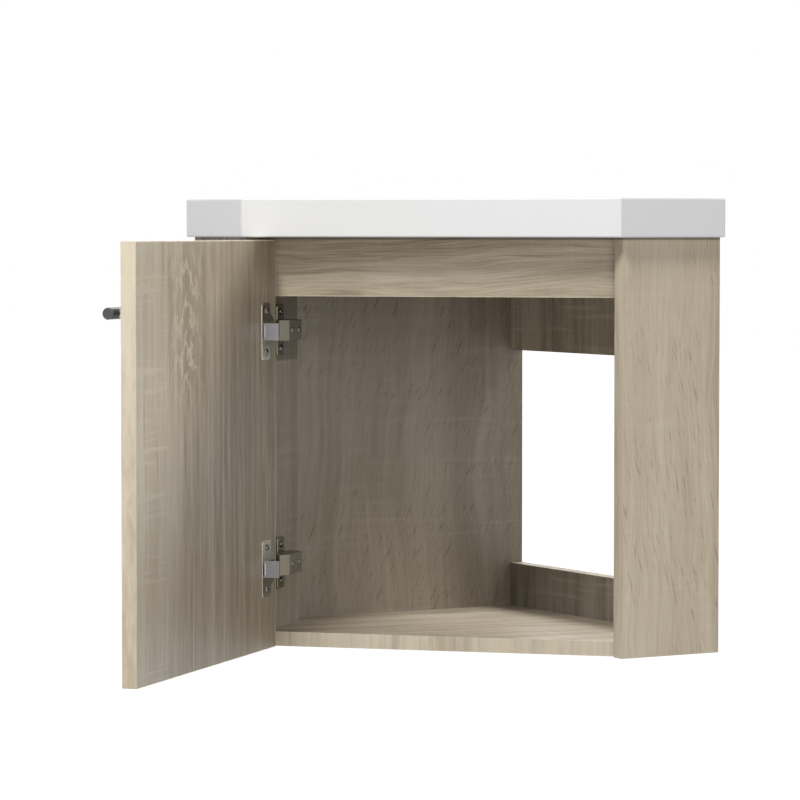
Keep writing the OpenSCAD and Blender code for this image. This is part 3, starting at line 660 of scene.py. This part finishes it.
class VANITY_OT_basin(Operator):
    """Makes the white cast basin with rounded edges, and its overflow ring"""

    bl_idname = "vanity.basin"
    bl_label = "Basin"

    def execute(self, context):
        basin = context.scene.vanity_basin
        shape = bevelled("basin_shape", self.weighted(), basin.edge_round, 3)
        shape.data.shade_smooth()
        shape.data.set_sharp_from_angle(angle=math.radians(35))
        even = shape.modifiers.new("even", "WEIGHTED_NORMAL")
        even.weight = 100
        even.keep_sharp = True
        mesh = mesh_of(apply_modifiers(shape))
        piece_from("basin_cast", mesh, self.gel_coat(basin), "carcass", "basin_cast", "basin", shade=None)
        chrome = context.scene.vanity_metal.chrome
        dress("overflow_ring", metal_material("chrome_ring", chrome, base=0.06, scratch=0.03))
        return {"FINISHED"}

    @staticmethod
    def weighted():
        """The basin with a weight on each edge to be rounded: full on the slab, less at the bowl."""
        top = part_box("basin")[1][2]
        slab_low = boards_top()
        near = 1e-4
        work = node_copy("basin")
        weight = work.edges.layers.float.new("bevel_weight_edge")
        for edge in work.edges:
            if len(edge.link_faces) != 2:
                continue
            a, b = (v.co for v in edge.verts)
            level = abs(a.z - b.z) < near
            upper = level and abs(a.z - top) < near
            lower = level and abs(a.z - slab_low) < near
            upright = abs(a.x - b.x) < near and abs(a.y - b.y) < near
            outside = on_slab_outline(a, near) and on_slab_outline(b, near)
            if edge.calc_face_angle(0) > math.radians(20) and outside and (upper or lower or upright):
                edge[weight] = 1.0
            elif upper and edge.calc_face_angle(0) > math.radians(30):
                edge[weight] = 0.8
        return work

    @staticmethod
    def gel_coat(basin):
        """White gel coat, very slightly uneven."""
        material, t, shader = new_material("gel_coat")
        shader.inputs["Base Color"].default_value = opaque(basin.white)
        shader.inputs["Specular IOR Level"].default_value = 0.35
        shader.inputs["Coat Roughness"].default_value = 0.05
        wave = t.noise(t.stretch(t.split(t.add("ShaderNodeTexCoord", "Object")), 14.0, 14.0, 14.0))
        t.put(shader.inputs["Roughness"], t.math("ADD", basin.roughness, t.math("MULTIPLY", wave, 0.05)))
        t.put(shader.inputs["Coat Weight"], t.math("MULTIPLY", wave, 0.1))
        t.put(shader.inputs["Normal"], t.add("ShaderNodeBump", 0, {
            "Strength": 0.05, "Distance": 0.001, "Height": wave}))
        return material


def on_slab_outline(point, near):
    """True on the basin's five upright faces."""
    low, high = (Vector(c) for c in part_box("basin"))
    at_front = abs(point.y - low.y) < near
    at_wall = abs(abs(point.x) + point.y) < near
    at_side = abs(abs(point.x) - point.y - 2 * high.x) < near
    return at_front or at_wall or at_side


class VANITY_OT_handle(Operator):
    """Makes the bar handle with chamfered ends"""

    bl_idname = "vanity.handle"
    bl_label = "Handle"

    def execute(self, context):
        metal = context.scene.vanity_metal
        points = [v.co for v in NODES["handle_bar"].data.vertices]
        along = Vector((math.cos(DOOR_TURN), -math.sin(DOOR_TURN), 0))
        across = Vector((-along.y, along.x, 0))
        reach = [p.dot(along) for p in points]
        sides = [p.dot(across) for p in points]
        heights = [p.z for p in points]
        radius = (max(heights) - min(heights)) / 2
        start = along * min(reach) + across * (max(sides) + min(sides)) / 2
        start.z = (max(heights) + min(heights)) / 2
        length = max(reach) - min(reach)
        place = Matrix.Translation(start) @ along.to_track_quat("X", "Z").to_matrix().to_4x4()
        chrome = self.chrome(metal, start, length)
        c = metal.bar_chamfer
        profile = [(0.0, 0.0), (0.0, radius - c), (c * 0.3, radius - c * 0.3), (c, radius)]
        profile += [(length - a, r) for a, r in reversed(profile)]
        work = bmesh.new()
        lathe(work, profile, metal.bar_sides, place)
        mesh = plain_mesh("handle_bar_round", work)
        piece_from("handle_bar_round", mesh, chrome, "door", "chrome_trim", "handle_bar", shade=25.0)
        plain = metal_material("chrome_posts", metal.chrome, base=0.08, smudge=0.08, scratch=0.04)
        dress("handle_posts", plain)
        dress("handle_studs", plain)
        return {"FINISHED"}

    @staticmethod
    def chrome(metal, start, length):
        """Chrome that is darker on the bar's end faces."""
        material = metal_material("chrome_bar", metal.chrome, base=0.10, smudge=0.08, scratch=0.04)
        t = Tree(material.node_tree)
        local = t.add("ShaderNodeMapping", 0, {
            "Vector": t.add("ShaderNodeTexCoord", "Object"), "Location": tuple(start),
            "Rotation": (0.0, 0.0, -DOOR_TURN),
        }, vector_type="TEXTURE")
        x, _, _ = t.split(local)
        from_end = t.math("SUBTRACT", length / 2, t.math("ABSOLUTE", t.math("SUBTRACT", x, length / 2)))
        body = t.smooth(from_end, 0.0002, 0.0007)
        shader = material.node_tree.nodes["Principled BSDF"]
        t.put(shader.inputs["Base Color"], t.mix(body, opaque(metal.bar_end), opaque(metal.chrome)))
        at_end = t.math("SUBTRACT", 1.0, body)
        t.put(shader.inputs["Roughness"], t.math("ADD", 0.12, t.math("MULTIPLY", at_end, 0.35)))
        return material


class VANITY_OT_hinges(Operator):
    """Gives the hinges their plated finish"""

    bl_idname = "vanity.hinges"
    bl_label = "Hinges"

    def execute(self, context):
        metal = context.scene.vanity_metal
        flange = metal_material("nickel_flange", metal.nickel, base=0.16, smudge=0.08, scratch=0.04)
        # The plates and arms in the darker copy of the steel are painted shade; the cups keep the paler
        # nickel
        shaded_plate = metal_material("nickel_plate_shaded", metal.arm, base=0.14, smudge=0.08, scratch=0.04)
        plate = metal_material("nickel_link", metal.plate, base=0.38, smudge=0.1)
        arm = metal_material("nickel_arm_shaded", metal.arm, base=0.30, smudge=0.1)
        pieces = (("plate", "carcass", shaded_plate, PLATE_OUT), ("cup", "door", flange, DOOR_OUT))
        for level in ("upper", "lower"):
            for part, body, finish, out in pieces:
                name = f"{level}_hinge_{part}"
                mesh = rounded_rim(name, out, metal.rim_round)
                piece_from(name + "_round", mesh, finish, body, "hinge_steel", name, shade=15.0)
            dress(f"{level}_hinge_arm", arm)
            dress(f"{level}_hinge_link", plate)
        bright = metal_material("bright_screws", metal.chrome, base=0.12, smudge=0.06)
        for part in ("hinge_adjust_screws", "hinge_arm_pins", "hinge_cup_pins"):
            dress(part, bright)
        return {"FINISHED"}


def screw_tree():
    """A node tree that stands a domed, cross-slotted screw on each point, along the point's axis."""
    tree = bpy.data.node_groups.new("screw_heads", "GeometryNodeTree")
    tree.interface.new_socket(name="Points", in_out="INPUT", socket_type="NodeSocketGeometry")
    for label, kind, default in (
        ("Head diameter", FLOAT, 0.0074), ("Head height", FLOAT, 0.0022), ("Shank diameter", FLOAT, 0.0034),
        ("Shank length", FLOAT, 0.0105), ("Slot length", FLOAT, 0.0034), ("Slot width", FLOAT, 0.0009),
        ("Slot depth", FLOAT, 0.0011),
    ):
        socket = tree.interface.new_socket(name=label, in_out="INPUT", socket_type=kind)
        socket.default_value = default
    tree.interface.new_socket(name="Metal", in_out="INPUT", socket_type="NodeSocketMaterial")
    tree.interface.new_socket(name="Geometry", in_out="OUTPUT", socket_type="NodeSocketGeometry")
    t = Tree(tree)
    source = tree.nodes.new("NodeGroupInput")
    i = {s.name: s for s in source.outputs}
    sink = tree.nodes.new("NodeGroupOutput")
    radius = t.math("MULTIPLY", i["Head diameter"], 0.5)
    dome = t.add("GeometryNodeMeshUVSphere", "Mesh", {"Segments": 32, "Rings": 16, "Radius": 1.0})
    dome = t.add("GeometryNodeTransform", 0, {
        "Geometry": dome, "Scale": t.join(radius, radius, i["Head height"])})
    block = t.add("GeometryNodeMeshCube", "Mesh", {"Size": (0.02, 0.02, 0.02)})
    block = t.add("GeometryNodeTransform", 0, {"Geometry": block, "Translation": (0, 0, -0.01)})
    slots = []
    for turned in (False, True):
        size = (i["Slot width"], i["Slot length"]) if turned else (i["Slot length"], i["Slot width"])
        slot = t.add("GeometryNodeMeshCube", "Mesh", {
            "Size": t.join(size[0], size[1], t.math("MULTIPLY", i["Slot depth"], 2.0))})
        slots.append(t.add("GeometryNodeTransform", 0, {
            "Geometry": slot, "Translation": t.join(0.0, 0.0, i["Head height"])}))
    cut = t.add("GeometryNodeMeshBoolean", None, operation="DIFFERENCE")
    t.put(cut.inputs[0], dome)
    for part in (block, *slots):
        t.tree.links.new(part, cut.inputs[1])
    shank = t.add("GeometryNodeMeshCylinder", "Mesh", {
        "Vertices": 20, "Radius": t.math("MULTIPLY", i["Shank diameter"], 0.5), "Depth": i["Shank length"]})
    sunk = t.math("ADD", t.math("MULTIPLY", i["Shank length"], -0.5), 0.0003)
    shank = t.add("GeometryNodeTransform", 0, {"Geometry": shank, "Translation": t.join(0.0, 0.0, sunk)})
    whole = t.add("GeometryNodeMeshBoolean", None, operation="UNION")
    t.tree.links.new(cut.outputs[0], whole.inputs[1])
    t.tree.links.new(shank, whole.inputs[1])
    axis = t.add("GeometryNodeInputNamedAttribute", "Attribute", {"Name": "axis"}, data_type="FLOAT_VECTOR")
    turn = t.add("FunctionNodeAlignRotationToVector", 0, {"Vector": axis}, axis="Z")
    spin = t.add("FunctionNodeRandomValue", 1, {2: 0.0, 3: 1.57, "Seed": 7}, data_type="FLOAT")
    turned = t.add("FunctionNodeRotateRotation", 0, {
        0: turn, 1: t.add("FunctionNodeAxisAngleToRotation", 0, {"Axis": (0, 0, 1), "Angle": spin})},
        rotation_space="LOCAL")
    points = t.add("GeometryNodeMeshToPoints", 0, {"Mesh": i["Points"]})
    stood = t.add("GeometryNodeInstanceOnPoints", 0, {
        "Points": points, "Instance": whole.outputs[0], "Rotation": turned})
    real = t.add("GeometryNodeRealizeInstances", 0, {"Geometry": stood})
    done = t.add("GeometryNodeSetMaterial", 0, {"Geometry": real, "Material": i["Metal"]})
    t.put(sink.inputs[0], done)
    return tree


def node_islands(node_name):
    """The points of each loose part of a CAD node."""
    work = bmesh.new()
    work.from_mesh(NODES[node_name].data)
    bmesh.ops.remove_doubles(work, verts=work.verts, dist=WELD)
    seen, parts = set(), []
    for vert in work.verts:
        if vert in seen:
            continue
        stack, found = [vert], []
        seen.add(vert)
        while stack:
            v = stack.pop()
            found.append(v.co.copy())
            for edge in v.link_edges:
                other = edge.other_vert(v)
                if other not in seen:
                    seen.add(other)
                    stack.append(other)
        parts.append(found)
    work.free()
    return parts


class VANITY_OT_screws(Operator):
    """Stands the wood screws of the hinge plates and cups, and finishes the hidden fittings"""

    bl_idname = "vanity.screws"
    bl_label = "Screws and fittings"

    def execute(self, context):
        metal = context.scene.vanity_metal
        # The screws' darkened steel is painted shade
        steel = metal_material("screw_steel", metal.screw, base=0.12, smudge=0.06)
        tree = screw_tree()
        rows = (("hinge_plate_screws", "carcass", PLATE_OUT), ("hinge_cup_screws", "door", DOOR_OUT))
        for node_name, body, out in rows:
            seats = []
            for part in node_islands(node_name):
                reach = [p.dot(out) for p in part]
                top = max(reach)
                head = [p for p in part if p.dot(out) > top - 1e-5]
                middle = sum(head, Vector()) / len(head)
                seats.append(middle - out * metal.head_h)
            dots = bpy.data.meshes.new(node_name + "_seats")
            dots.from_pydata([tuple(p) for p in seats], [], [])
            axis = dots.attributes.new("axis", "FLOAT_VECTOR", "POINT")
            axis.data.foreach_set("vector", [c for _ in seats for c in out])
            shape = bpy.data.objects.new(node_name + "_made", dots)
            context.scene.collection.objects.link(shape)
            stand = shape.modifiers.new("screws", "NODES")
            stand.node_group = tree
            sockets = {s.name: s.identifier for s in tree.interface.items_tree if s.in_out == "INPUT"}
            stand[sockets["Metal"]] = steel
            stand[sockets["Head diameter"]] = metal.head_d
            stand[sockets["Head height"]] = metal.head_h
            mesh = mesh_of(apply_modifiers(shape))
            piece_from(node_name + "_round", mesh, steel, body, "hinge_steel", node_name, shade=30.0)
        zinc = metal_material("zinc_cast", metal.nickel, base=0.4)
        for node_name in ("cam_locks", "cam_bolts"):
            dress(node_name, zinc)
        dress("dowels", oak_material("beech", origin=(0.1, 0.2, 0.3), streaks=0.3, lift=0.3))
        return {"FINISHED"}


class VANITY_OT_stage(Operator):
    """Makes the floor, the surround, the lamps and the camera"""

    bl_idname = "vanity.stage"
    bl_label = "Stage"

    def execute(self, context):
        stage = context.scene.vanity_stage
        scene = context.scene
        scene.view_settings.view_transform = "Standard"
        self.floor(stage)
        self.surround(scene, stage)
        self.lamp("key_lamp", KEY_PLACE, LAMP_TARGET, KEY_SIZE, stage.key)
        self.lamp("fill_lamp", FILL_PLACE, LAMP_TARGET, FILL_SIZE, stage.fill)
        rear = self.lamp("rear_lamp", REAR_PLACE, REAR_TARGET, REAR_SIZE, stage.rear)
        self.spare(rear, bpy.data.objects["basin_cast"], bpy.data.objects["handle_bar_round"],
                   NODES["handle_posts"])
        self.camera(scene, stage)
        return {"FINISHED"}

    @staticmethod
    def floor(stage):
        """A pale floor that shows as white and sends back only a share of the light."""
        corners = ((-1, -1), (1, -1), (1, 1), (-1, 1))
        mesh = bpy.data.meshes.new("stage_floor")
        mesh.from_pydata([(x * FLOOR_REACH, y * FLOOR_REACH, -stage.floor_drop) for x, y in corners],
                         [], [(0, 1, 2, 3)])
        shape = bpy.data.objects.new("stage_floor", mesh)
        bpy.context.scene.collection.objects.link(shape)
        material, t, shader = new_material("pale_floor")
        shader.inputs["Base Color"].default_value = opaque([stage.floor_grey] * 3)
        shader.inputs["Roughness"].default_value = 0.9
        glow = t.add("ShaderNodeEmission", 0, {
            "Color": (1, 1, 1, 1), "Strength": t.math("MULTIPLY", t.seen(), stage.floor_glow)})
        both = t.add("ShaderNodeAddShader", 0, {0: shader.outputs[0], 1: glow})
        t.put(material.node_tree.nodes["Material Output"].inputs["Surface"], both)
        mesh.materials.append(material)

    @staticmethod
    def surround(scene, stage):
        """A surround that shows as white and lights with its own, lower strength."""
        world = bpy.data.worlds.new("white_surround")
        scene.world = world
        world.use_nodes = True
        t = Tree(world.node_tree)
        strength = t.math("ADD", stage.sky, t.math("MULTIPLY", t.seen(), 1.0 - stage.sky))
        background = world.node_tree.nodes["Background"]
        background.inputs["Color"].default_value = (1, 1, 1, 1)
        t.put(background.inputs["Strength"], strength)

    @staticmethod
    def lamp(name, place, target, size, power):
        """A rectangular lamp that looks at its target."""
        light = bpy.data.lights.new(name, "AREA")
        light.shape = "RECTANGLE"
        light.size, light.size_y = size
        light.energy = power
        shape = bpy.data.objects.new(name, light)
        shape.location = place
        shape.rotation_euler = (Vector(target) - Vector(place)).to_track_quat("-Z", "Y").to_euler()
        bpy.context.scene.collection.objects.link(shape)
        return shape

    @staticmethod
    def spare(light, *pieces):
        """Keeps a lamp's direct light off pieces that it would burn out."""
        group = bpy.data.collections.new(light.name + "_spares")
        for shape in pieces:
            group.objects.link(shape)
        light.light_linking.receiver_collection = group
        for member in group.collection_objects:
            member.light_linking.link_state = "EXCLUDE"

    @staticmethod
    def camera(scene, stage):
        """The photograph's view."""
        data = bpy.data.cameras.new("camera")
        data.lens = stage.lens
        data.sensor_width = 36.0
        data.clip_end = 100.0
        shape = bpy.data.objects.new("camera", data)
        shape.location = CAMERA_PLACE
        shape.rotation_euler = (math.radians(90 - CAMERA_DIP), 0.0, math.radians(CAMERA_TURN))
        scene.collection.objects.link(shape)
        scene.camera = shape


OPERATORS = (
    VANITY_OT_boards, VANITY_OT_edges, VANITY_OT_basin, VANITY_OT_handle, VANITY_OT_hinges,
    VANITY_OT_screws, VANITY_OT_stage,
)


class VANITY_PT_panel(Panel):
    """Lists the pieces and their settings"""

    bl_label = "Corner vanity unit"
    bl_idname = "VANITY_PT_panel"
    bl_space_type = "VIEW_3D"
    bl_region_type = "UI"
    bl_category = "Vanity"

    def draw(self, context):
        for operator in OPERATORS:
            self.layout.operator(operator.bl_idname)
        for attribute, group in SETTINGS:
            box = self.layout.box()
            values = getattr(context.scene, attribute)
            for key in group.__annotations__:
                box.prop(values, key)


CLASSES = (*(group for _, group in SETTINGS), *OPERATORS, VANITY_PT_panel)


def register():
    """Registers the classes and the scene's settings."""
    for item in CLASSES:
        bpy.utils.register_class(item)
    for attribute, group in SETTINGS:
        setattr(bpy.types.Scene, attribute, PointerProperty(type=group))


def unregister():
    """Removes what register added."""
    for attribute, _ in SETTINGS:
        delattr(bpy.types.Scene, attribute)
    for item in reversed(CLASSES):
        bpy.utils.unregister_class(item)


def main():
    """Builds every piece in order."""
    register()
    for operator in OPERATORS:
        family, action = operator.bl_idname.split(".")
        getattr(getattr(bpy.ops, family), action)()


if __name__ == "__main__":
    main()
